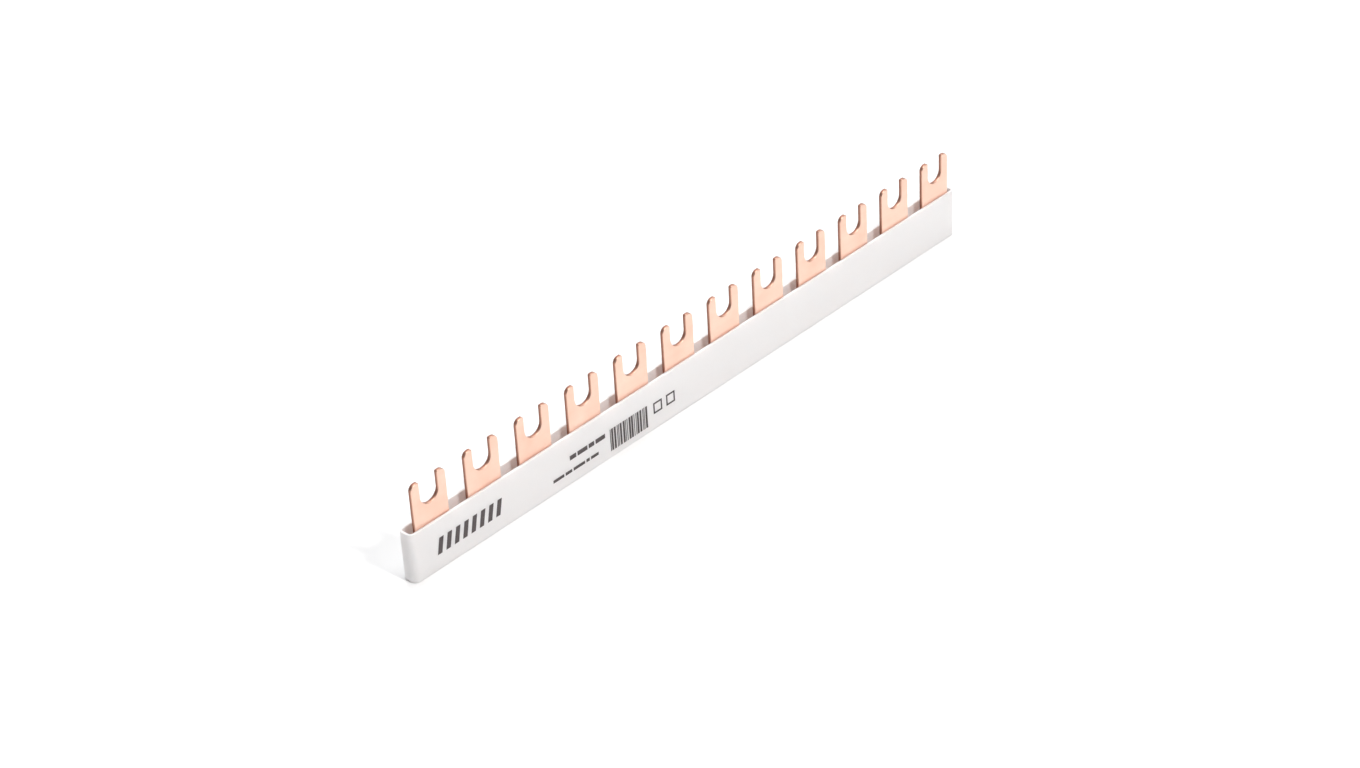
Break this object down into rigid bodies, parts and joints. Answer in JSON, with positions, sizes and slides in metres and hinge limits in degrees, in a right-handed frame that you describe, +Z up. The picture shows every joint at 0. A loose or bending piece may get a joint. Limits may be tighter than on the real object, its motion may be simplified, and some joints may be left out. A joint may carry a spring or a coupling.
{
  "type": "comb busbar",
  "caption": "Single-pole comb busbar: a stamped copper comb of U-shaped terminal forks, seated in a narrow open-topped white plastic channel.",
  "frame": {"origin": "under the middle of the channel's flat base", "axes": "+X along the bar, +Y from the plain front face to the back, +Z up to the fork tips"},
  "size_m": [0.212, 0.0048, 0.0268],
  "materials": {
    "white_plastic": "satin moulded, pale grey-white",
    "copper": "bright stamped copper, fine rolled grain"
  },
  "bodies": {
    "root": {"housing": "white_plastic", "fork_comb": "copper"}
  },
  "joints": []
}
